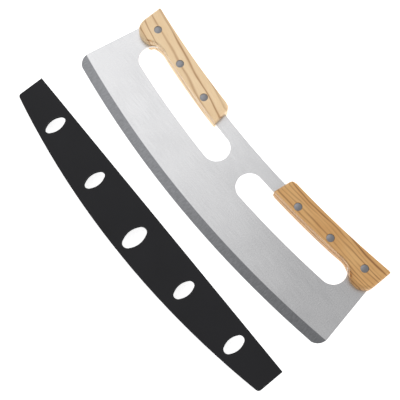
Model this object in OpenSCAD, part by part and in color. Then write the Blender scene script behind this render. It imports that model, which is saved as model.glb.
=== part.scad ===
// Rocking pizza knife with its blade cover, lying flat.
// Units are millimetres. X runs along the knife and Y from the cutting edge to the handles.
// Z is up. The origin is on the back face of the blade, in the plane that divides its two halves.

/* [Blade] */
// Overall length of the blade
blade_len = 356; // [330:1:380]
// Thickness of the steel
blade_t = 2; // [1.5:0.1:3]
// Radius of the curved cutting edge
edge_r = 1050; // [900:10:1300]
// From the origin down to the lowest point of the edge
edge_drop = 39; // [34:0.5:42]
// Width of the ground bevel on each face
bevel_w = 9.5; // [6:0.5:14]
// Thickness that the grinding leaves at the edge
edge_t = 0.3; // [0.2:0.1:0.6]
// Lean of each end of the blade from upright, in degrees
end_lean = 10.4; // [5:0.1:15]
// Radius of the two lower corners
corner_r = 12; // [6:0.5:18]

/* [Hand slots] */
// Height of the steel between the edge and the slots
body_h = 49.3; // [46:0.1:55]
// Height of each slot
slot_h = 27.1; // [24:0.1:32]
// From the middle plane to the near end of each slot
slot_in_x = 11.4; // [8:0.2:16]
// From the middle plane to the far end of each slot
slot_out_x = 147; // [143:0.5:149]
// Width of the strip of steel above the slots
strip_w = 13.4; // [12:0.1:15]

/* [Handles] */
// Thickness of each wooden scale over the face of the blade
scale_t = 9; // [7:0.5:12]
// Width of each handle from the strip's slot side to its back
handle_w = 19.6; // [18:0.1:23]
// How far the wood stands proud of the steel inside the slot
wood_proud = 0.8; // [0.4:0.1:1.5]
// Radius of the hollow back of the handles
back_r = 1060; // [950:10:1200]
// From the middle plane to the inner end of each handle
handle_in_x = 43.5; // [40:0.5:55]
// From the middle plane to the outer end of each handle
handle_out_x = 169; // [167:0.5:172]
// Lean of the inner end of each handle, in degrees
inner_lean = 7; // [0:0.5:10]
// Plan radius of the outer corner at the inner end
inner_corner_r = 5; // [3:0.5:7]
// How far the foot reaches below the slot side of the handle
foot_drop = 8.4; // [6:0.1:10]
// Plan radius of the foot's outer corner
foot_r = 14; // [10:0.5:16]
// Plan radius of the foot's tip
foot_tip_r = 2.5; // [2.2:0.1:3.5]
// Plan radius of the hollow between the foot and the handle
foot_hollow_r = 24; // [20:0.5:26]
// Rounding along the long sides of the wood
side_round = 1.8; // [1:0.1:2]
// Rounding over the ends of the wood
end_round = 4.5; // [3:0.5:6]
// Gap between the steel and its pocket in the wood
pocket_gap = 0.2; // [0.1:0.05:0.4]

/* [Rivets] */
// From the middle plane to the first rivet of each handle
rivet_x = 69; // [64:0.5:74]
// Spacing of the rivets along the handle
rivet_step = 41; // [36:0.5:42]
// From the slot edge of the strip to the rivets
rivet_in = 5; // [4.6:0.1:6.5]
// Diameter of the rivet heads
head_d = 7.6; // [6.4:0.1:7.8]
// Height of a rivet head at its crown
head_h = 1.6; // [1.2:0.1:2]
// Height of the dome within that head
dome_h = 0.5; // [0.3:0.05:0.8]
// Gap round a head in its counterbore
head_gap = 0.15; // [0.1:0.05:0.3]
// Outer diameter of the hollow half's barrel
barrel_d = 5; // [4.4:0.1:5.4]
// Diameter of the solid half's pin
pin_d = 3; // [2.5:0.1:3.4]
// Interference of the pin in the barrel
pin_grip = 0.04; // [0.02:0.01:0.08]
// Gap round a barrel in the wood and the steel
barrel_gap = 0.1; // [0.05:0.05:0.2]
// Length left free at the far end of the barrel and of the pin
rivet_slack = 2.8; // [2:0.1:4]

/* [Blade cover] */
// Length of the cover
cover_len = 360.2; // [359:0.2:372]
// Depth of the cover in its middle
cover_depth = 47.2; // [44:0.2:52]
// Radius of the cover's bowed side
cover_r = 850; // [820:10:920]
// Thickness of each wall of the cover
cover_wall = 1; // [0.8:0.1:1.6]
// Gap between the blade and each wall
cover_gap = 0.2; // [0.15:0.05:0.4]
// Solid rim along the bowed side
cover_rim = 3; // [2:0.5:5]
// Radius of the cover's lower corners
cover_corner_r = 3.5; // [2:0.5:6]
// Length of the four smaller holes, across the cover
hole_len = 22; // [16:0.5:24]
// Width of the four smaller holes
hole_w = 12.6; // [9:0.2:15]
// Length of the middle hole, across the cover
mid_hole_len = 26.2; // [20:0.2:30]
// Width of the middle hole
mid_hole_w = 15.6; // [10:0.2:18]
// How far the middle hole lies below the middle of the cover's depth
mid_hole_drop = 3.6; // [0:0.2:5]
// Spacing of the holes along the cover
hole_step = 67; // [60:0.5:70]
// From the lowest point of the edge to the cover's straight side, when it is off
cover_off = 23.5; // [10:0.5:60]
// How far the cover lies to the left when it is off
cover_shift = 5.5; // [0:0.5:12]

/* [Hidden] */
SIDES = ["left", "right"];
SPOTS = ["inner", "middle", "outer"];
FACES = ["front", "back"];

steel = [0.78, 0.78, 0.79];
rivet_steel = [0.6, 0.6, 0.63];
left_wood = [0.86, 0.72, 0.54];
right_wood = [0.78, 0.6, 0.4];
black_plastic = [0.16, 0.16, 0.17];

// Facets of the long arcs and of ordinary round shapes
long_fn = 256;
round_fn = 64;
// A cut runs this far past the face that it opens
past = 1;
// Reach of a cut that only has to clear everything
clear = 60;
// Where two arcs would only touch, one reaches past the other by this share of its radius, so that they cross
cross = 0.02;
// The rounding circle of the wood stands off both faces by this share, for the same reason
stand_off = 0.03;
// Roundness of the cover's oval holes at their tips, where 1 is that of an ellipse
tip_blunt = 1.2;
// Length of a rivet's shank that is inside its own head
root = 0.1;

// The edge, the slots and the strip are arcs round one centre
arc_y = edge_r - edge_drop;
slot_low_r = edge_r - body_h;
slot_top_r = slot_low_r - slot_h;
strip_top_r = slot_top_r - strip_w;
slot_mid_r = (slot_low_r + slot_top_r) / 2;
mid_z = blade_t / 2;

// Height of an arc of radius r round (0, cy), at a given x
function arc_at(cy, r, x) = cy - sqrt(r * r - x * x);
// Point at radius r from the arcs' centre, at a given x
function on_arc(r, x) = [x, arc_at(arc_y, r, x)];
function unit(v) = v / norm(v);

// The circle of the lower corner reaches a little past the edge, so that the two cross
corner_c = on_arc(edge_r - (1 - cross) * corner_r, corner_r - blade_len / 2);
end_out = [-cos(end_lean), sin(end_lean)];
end_up = [sin(end_lean), cos(end_lean)];

slot_in_c = on_arc(slot_mid_r, -slot_in_x - slot_h / 2);
slot_out_c = on_arc(slot_mid_r, slot_h / 2 - slot_out_x);

// The wood's slot side, its hollow back and the foot
wood_r = slot_top_r + wood_proud;
back_y = arc_y - slot_top_r + handle_w + back_r;
inner_foot = on_arc(wood_r, -handle_in_x);
inner_up = [-sin(inner_lean), cos(inner_lean)];
inner_in = [-cos(inner_lean), -sin(inner_lean)];
hollow_c = on_arc(wood_r + foot_hollow_r, slot_out_c[0]);
foot_y = arc_at(arc_y, wood_r, hollow_c[0]) - foot_drop;
foot_c = [foot_r - handle_out_x, foot_y + foot_r];
tip_cy = foot_y + foot_tip_r;
tip_reach = sqrt(pow(foot_hollow_r + foot_tip_r, 2) - pow(tip_cy - hollow_c[1], 2));
tip_c = [hollow_c[0] - tip_reach, tip_cy];

// Centre of the rounded corner that touches the inner end and the hollow back
from_back = inner_foot + inner_corner_r * inner_in - [0, back_y];
along = from_back * inner_up;
corner_reach = pow(back_r + inner_corner_r, 2) - from_back * from_back;
inner_corner_c = [0, back_y] + from_back - (along + sqrt(along * along + corner_reach)) * inner_up;

top_z = blade_t + scale_t;
rivet_xs = [for (i = [0:2]) -rivet_x - i * rivet_step];
barrel_r = barrel_d / 2;
pin_r = pin_d / 2;
grip = top_z + scale_t - 2 * head_h;

cover_y = -edge_drop - cover_off;
cover_t = blade_t + 2 * (cover_gap + cover_wall);

module at_arc_centre() {
    translate([0, arc_y]) children();
}

module disc(c, r, fn = round_fn) {
    translate(c) circle(r = r, $fn = fn);
}

// Wedge of the plane seen from the arcs' centre, between the directions of two points
module wedge(a, b) {
    c = [0, arc_y];
    polygon([c, c + 1.2 * edge_r * unit(a - c), c + 1.2 * edge_r * unit(b - c)]);
}

// Rounds a corner: takes what lies past the circle round c, between the directions u and v
module off_corner(c, r, u, v) {
    difference() {
        polygon([c, c + 3 * r * u, c + 3 * r * (u + v), c + 3 * r * v]);
        disc(c, r);
    }
}

module both_sides() {
    children();
    mirror([1, 0]) children();
}

// Everything between the two leaning ends, which can be moved out by a gap
module between_ends(gap) {
    foot = corner_c + (corner_r + gap) * end_out;
    low = foot - clear * end_up;
    high = foot + 2 * clear * end_up;
    polygon([low, high, [-high[0], high[1]], [-low[0], low[1]]]);
}

module slot_left() {
    disc(slot_in_c, slot_h / 2);
    disc(slot_out_c, slot_h / 2);
    intersection() {
        difference() {
            disc([0, arc_y], slot_low_r, long_fn);
            disc([0, arc_y], slot_top_r, long_fn);
        }
        wedge(slot_in_c, slot_out_c);
    }
}

module blade_outline() {
    difference() {
        intersection() {
            disc([0, arc_y], edge_r, long_fn);
            between_ends(0);
        }
        disc([0, arc_y], strip_top_r, long_fn);
        both_sides() {
            off_corner(corner_c, corner_r, end_out, unit(corner_c - [0, arc_y]));
            slot_left();
        }
    }
}

// Ring that grinds one face down to the edge
module bevel_cut() {
    slope = (blade_t - edge_t) / 2 / bevel_w;
    rotate_extrude($fn = long_fn)
        polygon([
            [edge_r - bevel_w, blade_t],
            [edge_r + past, blade_t - slope * (bevel_w + past)],
            [edge_r + past, blade_t + past],
            [edge_r - bevel_w, blade_t + past]
        ]);
}

module rivet_places() {
    for (x = rivet_xs) translate(on_arc(slot_top_r - rivet_in, x)) children();
}

module blade() {
    color(steel)
        difference() {
            linear_extrude(blade_t) blade_outline();
            at_arc_centre() {
                bevel_cut();
                translate([0, 0, blade_t]) mirror([0, 0, 1]) bevel_cut();
            }
            for (m = [0, 1]) mirror([m, 0, 0]) rivet_places()
                translate([0, 0, -past])
                    cylinder(r = barrel_r + barrel_gap, h = blade_t + 2 * past, $fn = round_fn);
        }
}

// Plan of the left handle
module foot_outline() {
    reach = arc_at(arc_y, strip_top_r, hollow_c[0]);
    translate([-handle_out_x, foot_c[1]]) square([tip_c[0] + handle_out_x, reach - foot_c[1]]);
    translate([foot_c[0], foot_y]) square([tip_c[0] - foot_c[0], reach - foot_y]);
    disc(foot_c, foot_r);
    disc(tip_c, foot_tip_r);
    difference() {
        polygon([tip_c, hollow_c, [hollow_c[0], reach], [tip_c[0], reach]]);
        disc(hollow_c, foot_hollow_r);
    }
}

module handle_outline() {
    reach = arc_at(arc_y, strip_top_r, hollow_c[0]);
    difference() {
        union() {
            intersection() {
                disc([0, arc_y], wood_r, long_fn);
                polygon([
                    [-handle_out_x, foot_c[1]],
                    [-handle_out_x, back_y],
                    inner_foot + clear * inner_up,
                    inner_foot - clear * inner_up
                ]);
            }
            foot_outline();
        }
        disc([0, back_y], back_r, long_fn);
        off_corner(inner_corner_c, inner_corner_r, -inner_in, unit([0, back_y] - inner_corner_c));
    }
}

// What the tang's pocket takes from the wood, seen from above
module pocket_outline() {
    difference() {
        between_ends(pocket_gap);
        disc([0, arc_y], strip_top_r - pocket_gap, long_fn);
    }
}

// Corner to be cut away from a section, with its top at height z
// The circle stands a little off both faces, so that it meets them at a shallow angle
module corner_section(r, z) {
    difference() {
        translate([-r, z - r]) square(r + past);
        translate([-r, z - r] + stand_off * [r, r]) circle(r = r, $fn = round_fn);
    }
}

// Straight run of that corner from a point, along a direction given in degrees
module straight_round(from, turn, len, r) {
    translate([from[0], from[1], 0])
        rotate(turn)
            translate([0, len, 0])
                rotate([90, 0, 0])
                    linear_extrude(len)
                        corner_section(r, top_z);
}

module wood_rounding() {
    at_arc_centre()
        rotate_extrude($fn = long_fn)
            translate([wood_r, 0]) corner_section(side_round, top_z);
    translate([0, back_y, 0])
        rotate_extrude($fn = long_fn)
            translate([back_r, 0]) mirror([1, 0]) corner_section(side_round, top_z);
    // Hollow between the foot and the handle
    translate([hollow_c[0], hollow_c[1], 0])
        rotate_extrude($fn = round_fn)
            translate([foot_hollow_r, 0]) mirror([1, 0]) corner_section(side_round, top_z);
    // Outer end, the foot's corner and the foot's lower side
    translate([-handle_out_x, foot_c[1], 0])
        rotate([90, 0, 180])
            linear_extrude(clear)
                corner_section(end_round, top_z);
    translate([foot_c[0], foot_c[1], 0])
        rotate_extrude(angle = 90, start = 180, $fn = round_fn)
            translate([foot_r, 0]) corner_section(end_round, top_z);
    translate([foot_c[0], foot_y, 0])
        rotate([90, 0, -90])
            mirror([0, 0, 1])
                linear_extrude(tip_c[0] - foot_c[0] + 2 * foot_tip_r)
                    corner_section(end_round, top_z);
    // Inner end and its outer corner
    straight_round(inner_foot - clear / 2 * inner_up, inner_lean, 1.5 * clear, end_round);
    translate([inner_corner_c[0], inner_corner_c[1], 0])
        rotate_extrude(angle = 88, start = inner_lean - 1, $fn = round_fn)
            translate([inner_corner_r, 0]) corner_section(side_round, top_z);
}

// Front half of the left handle
module left_front_scale() {
    difference() {
        translate([0, 0, mid_z]) linear_extrude(top_z - mid_z) handle_outline();
        translate([0, 0, mid_z - past]) linear_extrude(mid_z + past) pocket_outline();
        wood_rounding();
        rivet_places() {
            cylinder(r = barrel_r + barrel_gap, h = top_z + past, $fn = round_fn);
            translate([0, 0, top_z - head_h])
                cylinder(d = head_d + 2 * head_gap, h = head_h + past, $fn = round_fn);
        }
    }
}

// Turns a front half into the one behind it
module behind() {
    translate([0, 0, blade_t]) mirror([0, 0, 1]) children();
}

module left_scale_front() {
    color(left_wood) left_front_scale();
}

module left_scale_back() {
    color(left_wood) behind() left_front_scale();
}

module right_scale_front() {
    color(right_wood) mirror([1, 0, 0]) left_front_scale();
}

module right_scale_back() {
    color(right_wood) behind() mirror([1, 0, 0]) left_front_scale();
}

// Domed head standing on the floor of its counterbore
module rivet_head() {
    dome_r = (pow(head_d / 2, 2) + pow(dome_h, 2)) / (2 * dome_h);
    intersection() {
        cylinder(d = head_d, h = head_h, $fn = round_fn);
        translate([0, 0, head_h - dome_r]) sphere(r = dome_r, $fn = long_fn);
    }
}

// Hollow half, put in from the front
module rivet_cap() {
    len = grip - rivet_slack;
    difference() {
        union() {
            translate([0, 0, top_z - head_h]) rivet_head();
            translate([0, 0, top_z - head_h - len]) cylinder(r = barrel_r, h = len + root, $fn = round_fn);
        }
        translate([0, 0, top_z - head_h - len - past])
            cylinder(d = pin_d - pin_grip, h = len + past, $fn = round_fn);
    }
}

// Solid half, driven in from the back
module rivet_pin() {
    behind() translate([0, 0, top_z - head_h]) {
        rivet_head();
        translate([0, 0, rivet_slack - grip])
            cylinder(r = pin_r, h = grip - rivet_slack + root, $fn = round_fn);
    }
}

module rivet(side, spot, half) {
    m = side == "left" ? 0 : 1;
    color(rivet_steel)
        mirror([m, 0, 0])
            translate(on_arc(slot_top_r - rivet_in, rivet_xs[spot]))
                if (half == "cap") rivet_cap();
                else rivet_pin();
}

// Cover, drawn round its own middle plane
module cover_outline() {
    cy = cover_y - cover_depth + cover_r;
    half = cover_len / 2;
    corner_x = half - cover_corner_r;
    corner = [-corner_x, arc_at(cy, cover_r - cover_corner_r, corner_x)];
    difference() {
        intersection() {
            disc([0, cy], cover_r, long_fn);
            translate([-half, cover_y - cover_depth - past])
                square([cover_len, cover_depth + past]);
        }
        both_sides() off_corner(corner, cover_corner_r, [-1, 0], unit(corner - [0, cy]));
    }
}

// Oval hole, long across the cover, from four arcs
// The circles at its tips reach a little past its sides, so that the arcs cross
module cover_hole(x, drop, len, w) {
    cy = cover_y - cover_depth + cover_r;
    y = (cover_y + arc_at(cy, cover_r, x)) / 2 - drop;
    a = len / 2;
    b = w / 2;
    tip_r = tip_blunt * b * b / a;
    side_r = (b * b + pow(a - tip_r, 2) - tip_r * tip_r) / (2 * (b - tip_r));
    meet_y = side_r * (a - tip_r) / (side_r - tip_r);
    translate([x, y]) {
        intersection() {
            disc([side_r - b, 0], side_r);
            disc([b - side_r, 0], side_r);
            square([2 * w, 2 * meet_y], center = true);
        }
        disc([0, a - tip_r], (1 + cross) * tip_r);
        disc([0, tip_r - a], (1 + cross) * tip_r);
    }
}

module cover_room() {
    cy = cover_y - cover_depth + cover_r;
    intersection() {
        disc([0, cy], cover_r - cover_rim, long_fn);
        translate([-cover_len, cover_y - cover_depth])
            square([2 * cover_len, cover_depth + past]);
    }
}

module blade_cover() {
    color(black_plastic)
        translate([-cover_shift, 0, 0])
            difference() {
                translate([0, 0, mid_z - cover_t / 2])
                    linear_extrude(cover_t)
                        difference() {
                            cover_outline();
                            cover_hole(0, mid_hole_drop, mid_hole_len, mid_hole_w);
                            for (i = [-2, -1, 1, 2]) cover_hole(i * hole_step, 0, hole_len, hole_w);
                        }
                translate([0, 0, -cover_gap])
                    linear_extrude(blade_t + 2 * cover_gap)
                        cover_room();
            }
}

blade();
left_scale_front();
left_scale_back();
right_scale_front();
right_scale_back();
rivet("left", 0, "cap");  // rivet_left_inner_cap
rivet("left", 0, "pin");  // rivet_left_inner_pin
rivet("left", 1, "cap");  // rivet_left_middle_cap
rivet("left", 1, "pin");  // rivet_left_middle_pin
rivet("left", 2, "cap");  // rivet_left_outer_cap
rivet("left", 2, "pin");  // rivet_left_outer_pin
rivet("right", 0, "cap");  // rivet_right_inner_cap
rivet("right", 0, "pin");  // rivet_right_inner_pin
rivet("right", 1, "cap");  // rivet_right_middle_cap
rivet("right", 1, "pin");  // rivet_right_middle_pin
rivet("right", 2, "cap");  // rivet_right_outer_cap
rivet("right", 2, "pin");  // rivet_right_outer_pin
blade_cover();
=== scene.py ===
import math

import bpy
from mathutils import Matrix, Vector


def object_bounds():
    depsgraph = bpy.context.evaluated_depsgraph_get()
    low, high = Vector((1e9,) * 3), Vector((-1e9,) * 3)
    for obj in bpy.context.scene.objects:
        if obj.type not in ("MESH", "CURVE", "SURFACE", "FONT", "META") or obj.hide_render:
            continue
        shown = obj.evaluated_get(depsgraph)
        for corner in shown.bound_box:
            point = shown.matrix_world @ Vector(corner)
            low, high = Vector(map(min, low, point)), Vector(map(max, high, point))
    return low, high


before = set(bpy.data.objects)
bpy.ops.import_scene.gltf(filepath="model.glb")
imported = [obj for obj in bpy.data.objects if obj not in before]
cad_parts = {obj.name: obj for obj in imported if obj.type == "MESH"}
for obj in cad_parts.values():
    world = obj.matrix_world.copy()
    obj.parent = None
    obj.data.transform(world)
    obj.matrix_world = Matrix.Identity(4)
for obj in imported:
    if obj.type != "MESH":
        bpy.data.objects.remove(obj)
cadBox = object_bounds()
mm = 0.001


class Wire:
    """A socket in a material, with the arithmetic that makes Math nodes."""

    def __init__(self, tree, out):
        self.tree = tree
        self.out = out

    def node(self, kind, inputs, settings=None, out=0):
        made = self.tree.nodes.new(kind)
        for name, value in (settings or {}).items():
            setattr(made, name, value)
        for name, value in inputs.items():
            if isinstance(value, Wire):
                self.tree.links.new(value.out, made.inputs[name])
            else:
                made.inputs[name].default_value = value
        return Wire(self.tree, made.outputs[out])

    def maths(self, operation, *others):
        return self.node("ShaderNodeMath", dict(enumerate((self, *others))), {"operation": operation})

    def __add__(self, other):
        return self.maths("ADD", other)

    def __radd__(self, other):
        return self + other

    def __sub__(self, other):
        return self.maths("SUBTRACT", other)

    def __mul__(self, other):
        return self.maths("MULTIPLY", other)

    def __rmul__(self, other):
        return self * other

    def power(self, other):
        return self.maths("POWER", other)

    def clamped(self):
        return self.maths("MAXIMUM", 0.0).maths("MINIMUM", 1.0)


def blend(factor, low, high):
    """Colour between low and high."""
    settings = {"data_type": "RGBA"}
    return factor.node("ShaderNodeMix", {0: factor, 6: low, 7: high}, settings, out=2)


def noise(place, scale, detail=3.0):
    return place.node("ShaderNodeTexNoise", {"Vector": place, "Scale": scale, "Detail": detail})


def startMaterial(name, **fixed):
    """Empty principled material, and its Object coordinates in millimetres as x, y and z wires."""
    material = bpy.data.materials.new(name)
    material.use_nodes = True
    tree = material.node_tree
    shader = tree.nodes["Principled BSDF"]
    for socket, value in fixed.items():
        shader.inputs[socket.replace("_", " ")].default_value = value
    coords = tree.nodes.new("ShaderNodeTexCoord")
    split = tree.nodes.new("ShaderNodeSeparateXYZ")
    tree.links.new(coords.outputs["Object"], split.inputs[0])
    axes = [Wire(tree, split.outputs[i]) * 1000.0 for i in range(3)]
    return material, shader, axes


def join(x, y, z):
    return x.node("ShaderNodeCombineXYZ", {0: x, 1: y, 2: z})


def feed(shader, socket, wire):
    wire.tree.links.new(wire.out, shader.inputs[socket])


def bump(height, strength, distance):
    inputs = {"Height": height, "Strength": strength, "Distance": distance}
    return height.node("ShaderNodeBump", inputs)


def rgb(red, green, blue):
    """Linear colour of an sRGB one that is given in 0 to 255."""
    parts = [c / 255 for c in (red, green, blue)]
    return (*[c / 12.92 if c < 0.04 else ((c + 0.055) / 1.055) ** 2.4 for c in parts], 1.0)


# Sheet steel: fine lines of the belt along the blade, and a faint cloudiness
# and the band that is ground down to the edge, which has its lines across it and a darker colour that is a painted
# reflection
steelLook = {"pale": rgb(236, 236, 237), "dull": rgb(178, 178, 180), "rough": 0.34}
bevelWithPaintedReflection = {"pale": rgb(164, 165, 168), "dull": rgb(96, 97, 100), "innerR": 1040.5, "arcY": 1011.0}


def steelMaterial():
    material, shader, (x, y, z) = startMaterial("bladeSteel", Metallic=1.0, Anisotropic=0.35)
    lines = noise(join(x * 0.05, y * 3.0, z * 3.0), 1.0, 4.0)
    clouds = noise(join(x * 0.02, y * 0.03, z), 1.0, 2.0)
    speckle = noise(join(x * 0.9, y * 2.4, z), 1.0, 2.0)
    tone = (lines * 0.9 + clouds * 0.3 + speckle * 1.6 - 0.85).clamped()
    fromArcs = y * -1.0 + bevelWithPaintedReflection["arcY"]
    radius = (x * x + fromArcs * fromArcs).power(0.5)
    ground = ((radius - bevelWithPaintedReflection["innerR"]) * 4.0 + 0.5).clamped()
    across = noise(join(x * 2.5, radius * 0.3, z), 1.0, 3.0)
    face = blend(tone, steelLook["dull"], steelLook["pale"])
    # painted reflection: the ground band gets a darker colour that stands in for the dark reflection it shows
    bevelLinesAndPaintedReflection = blend(across, bevelWithPaintedReflection["dull"], bevelWithPaintedReflection["pale"])
    feed(shader, "Base Color", blend(ground, face, bevelLinesAndPaintedReflection))
    feed(shader, "Roughness", lines * 0.14 + steelLook["rough"] - 0.07)
    feed(shader, "Normal", bump(lines * 0.6 + speckle * 0.4, 0.25, 0.00002))
    return material


# Polished domes of the rivets, with faint turning marks left by use
def rivetMaterial():
    material, shader, (x, y, z) = startMaterial("rivetSteel", Metallic=1.0)
    marks = noise(join(x * 1.6, y * 1.6, z * 1.6), 1.0, 4.0)
    feed(shader, "Base Color", blend(marks, rgb(126, 126, 130), rgb(168, 168, 172)))
    feed(shader, "Roughness", marks * 0.2 + 0.32)
    feed(shader, "Normal", bump(marks, 0.15, 0.00003))
    return material


# Two woods: the left handle is paler, with few lines that slant across it, and the right one is striped
leftWood = {
    "slant": math.radians(-11),
    "spacing": 8.5,
    "wander": 9.0,
    "pale": rgb(252, 224, 182),
    "mid": rgb(240, 206, 160),
    "line": rgb(160, 108, 58),
    "lineShare": 0.85,
    "sharp": 7.0,
    "offset": 2.0,
}
rightWood = {
    "slant": math.radians(3),
    "spacing": 3.6,
    "wander": 8.0,
    "pale": rgb(228, 182, 120),
    "mid": rgb(206, 152, 88),
    "line": rgb(130, 80, 38),
    "lineShare": 0.9,
    "sharp": 4.0,
    "offset": 17.0,
}


def woodMaterial(name, look):
    material, shader, (x, y, z) = startMaterial(name, Coat_Weight=0.12, Coat_Roughness=0.35)
    c, s = math.cos(look["slant"]), math.sin(look["slant"])
    along = x * c + y * s
    across = y * c - x * s
    drift = noise(join(along * 0.016 + look["offset"], across * 0.09, z * 0.09), 1.0, 2.0)
    depth = across + z * 0.45 + drift * look["wander"]
    wave = (depth * (2 * math.pi / look["spacing"])).maths("SINE") * 0.5 + 0.5
    fade = noise(join(along * 0.012, depth * 0.25 + look["offset"], z * 0.0), 1.0, 1.0)
    line = wave.power(look["sharp"]) * (fade * 2.2 - 0.5).clamped() * look["lineShare"]
    fibre = noise(join(along * 0.11, across * 3.2, z * 3.2), 1.0, 3.0)
    patch = noise(join(along * 0.03, across * 0.12 + look["offset"], z * 0.12), 1.0, 2.0)
    ground = blend((patch * 1.6 - 0.3).clamped(), look["pale"], look["mid"])
    pores = (noise(join(along * 0.3, across * 5.5, z * 5.5), 1.0, 2.0) * 3.0 - 1.75).clamped()
    dark = (line + fibre * 0.4 + pores * 0.35 - 0.17).clamped()
    feed(shader, "Base Color", blend(dark, ground, look["line"]))
    feed(shader, "Roughness", fibre * 0.2 + 0.42)
    feed(shader, "Normal", bump(line * 0.5 + fibre * 0.4 - pores, 0.35, 0.00008))
    return material


# Moulded cover: near black, with a fine matte grain
def coverMaterial():
    material, shader, (x, y, z) = startMaterial("coverPlastic", Specular_IOR_Level=0.2)
    grain = noise(join(x * 2.2, y * 2.2, z * 2.2), 1.0, 3.0)
    haze = noise(join(x * 0.02, y * 0.02, z * 0.02), 1.0, 2.0)
    feed(shader, "Base Color", blend(haze, rgb(30, 30, 32), rgb(38, 38, 41)))
    feed(shader, "Roughness", grain * 0.14 + 0.5)
    feed(shader, "Normal", bump(grain, 0.3, 0.00006))
    return material


def dress(start, material):
    """Gives a material to every CAD node whose name starts so."""
    for name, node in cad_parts.items():
        if name.startswith(start):
            node.data.materials.clear()
            node.data.materials.append(material)
            print("material", material.name, "on", name)


dress("blade", steelMaterial())
dress("blade_cover", coverMaterial())
dress("rivet_", rivetMaterial())
dress("left_scale", woodMaterial("leftWood", leftWood))
dress("right_scale", woodMaterial("rightWood", rightWood))

# Camera where the photograph was taken from: its right, down and forward directions in the part's frame
photoCamera = {
    "place": Vector((163.8, -143.2, 823.1)) * mm,
    "right": Vector((0.63021, 0.77641, -0.00534)),
    "down": Vector((0.75339, -0.61316, -0.23756)),
    "forward": Vector((-0.18772, 0.14569, -0.97136)),
    "lens": 81.3,
}


def makeCamera():
    data = bpy.data.cameras.new("photoCamera")
    data.lens = photoCamera["lens"]
    data.sensor_width = 36.0
    camera = bpy.data.objects.new("photoCamera", data)
    bpy.context.scene.collection.objects.link(camera)
    turn = Matrix([photoCamera["right"], -photoCamera["down"], -photoCamera["forward"]]).transposed()
    camera.matrix_world = Matrix.Translation(photoCamera["place"]) @ turn.to_4x4()
    bpy.context.scene.camera = camera


def makeLamp(name, place, size, power, shines=True):
    data = bpy.data.lights.new(name, "AREA")
    data.shape = "DISK"
    data.size = size
    data.energy = power
    lamp = bpy.data.objects.new(name, data)
    lamp.location = place
    lamp.rotation_euler = (-Vector(place)).to_track_quat("-Z", "Y").to_euler()
    lamp.visible_glossy = shines
    bpy.context.scene.collection.objects.link(lamp)


def makeFloor():
    low = cadBox[0].z - 0.2 * mm
    half = 3.0
    mesh = bpy.data.meshes.new("floor")
    corners = [(-half, -half, low), (half, -half, low), (half, half, low), (-half, half, low)]
    mesh.from_pydata(corners, [], [(0, 1, 2, 3)])
    floor = bpy.data.objects.new("floor", mesh)
    bpy.context.scene.collection.objects.link(floor)
    material, shader, _ = startMaterial("floorPaper", Roughness=0.9)
    shader.inputs["Base Color"].default_value = (0.93, 0.93, 0.93, 1.0)
    shader.inputs["Emission Color"].default_value = (1.0, 1.0, 1.0, 1.0)
    shader.inputs["Emission Strength"].default_value = 0.75
    mesh.materials.append(material)


def makeWorld():
    """White where the camera or a transmission ray looks, and softer as a light."""
    world = bpy.data.worlds.new("studio")
    bpy.context.scene.world = world
    world.use_nodes = True
    tree = world.node_tree
    tree.nodes.clear()
    path = tree.nodes.new("ShaderNodeLightPath")
    seen = Wire(tree, path.outputs["Is Camera Ray"]).maths("MAXIMUM", Wire(tree, path.outputs["Is Transmission Ray"]))
    soft = tree.nodes.new("ShaderNodeBackground")
    soft.inputs["Strength"].default_value = 0.57
    white = tree.nodes.new("ShaderNodeBackground")
    white.inputs["Strength"].default_value = 1.0
    for background in (soft, white):
        background.inputs["Color"].default_value = (1.0, 1.0, 1.0, 1.0)
    mix = tree.nodes.new("ShaderNodeMixShader")
    out = tree.nodes.new("ShaderNodeOutputWorld")
    tree.links.new(seen.out, mix.inputs[0])
    tree.links.new(soft.outputs[0], mix.inputs[1])
    tree.links.new(white.outputs[0], mix.inputs[2])
    tree.links.new(mix.outputs[0], out.inputs["Surface"])


makeCamera()
makeLamp("keyLamp", (-0.85, 0.15, 1.35), 1.5, 4.5)
makeLamp("fillLamp", (0.5, 1.7, 0.9), 1.0, 16.0, shines=False)
makeFloor()
makeWorld()
bpy.context.scene.view_settings.view_transform = "Standard"
print("camera, lamps and floor made")
